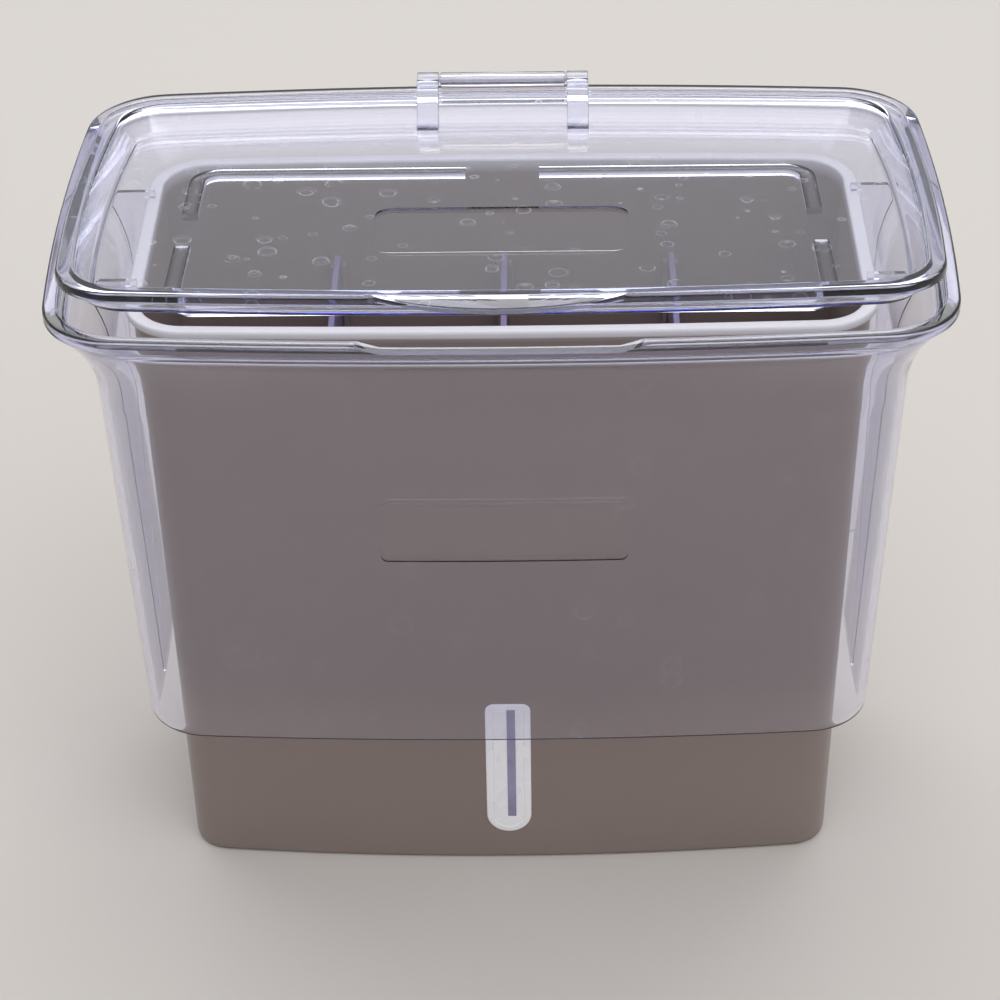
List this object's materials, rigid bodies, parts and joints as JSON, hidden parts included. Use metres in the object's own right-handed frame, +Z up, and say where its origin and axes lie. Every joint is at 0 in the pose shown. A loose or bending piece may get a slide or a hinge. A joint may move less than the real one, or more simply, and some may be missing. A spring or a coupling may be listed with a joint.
{
  "type": "herb keeper",
  "caption": "Deep rectangular tub in a clear flared sleeve with a hinged clear lid, removable dividers and a water-level window, for keeping cut herbs in water.",
  "frame": {"origin": "centre of the tub's flat underside", "axes": "+Z up, +X along the long side (to the right seen from the front), -Y towards the front, where the thumb lip and the window are"},
  "size_m": [0.25, 0.158, 0.2153],
  "materials": {
    "tub_plastic": "satin",
    "clear_plastic": "polished",
    "divider_plastic": "polished",
    "rod_plastic": "polished"
  },
  "bodies": {
    "tub": {"tub": "tub_plastic", "water_level_window": "clear_plastic"},
    "sleeve": {"sleeve": "clear_plastic"},
    "lid": {"lid": "clear_plastic", "hinge_rod": "rod_plastic"},
    "divider_left": {"divider_left": "divider_plastic"},
    "divider_middle": {"divider_middle": "divider_plastic"},
    "divider_right": {"divider_right": "divider_plastic"}
  },
  "joints": [
    {"name": "sleeve_lift", "type": "slide", "parent": "tub", "child": "sleeve", "axis": [0, 0, 1], "range_m": [0, 0.14]},
    {"name": "lid_hinge", "type": "hinge", "parent": "sleeve", "child": "lid", "pos_m": [0, 0.0741, 0.2045], "axis": [-1, 0, 0], "range_deg": [-4.9, 100]},
    {"name": "divider_left_pull", "type": "slide", "parent": "tub", "child": "divider_left", "axis": [0, 0, 1], "range_m": [0, 0.028]},
    {"name": "divider_middle_pull", "type": "slide", "parent": "tub", "child": "divider_middle", "axis": [0, 0, 1], "range_m": [0, 0.028]},
    {"name": "divider_right_pull", "type": "slide", "parent": "tub", "child": "divider_right", "axis": [0, 0, 1], "range_m": [0, 0.028]}
  ]
}
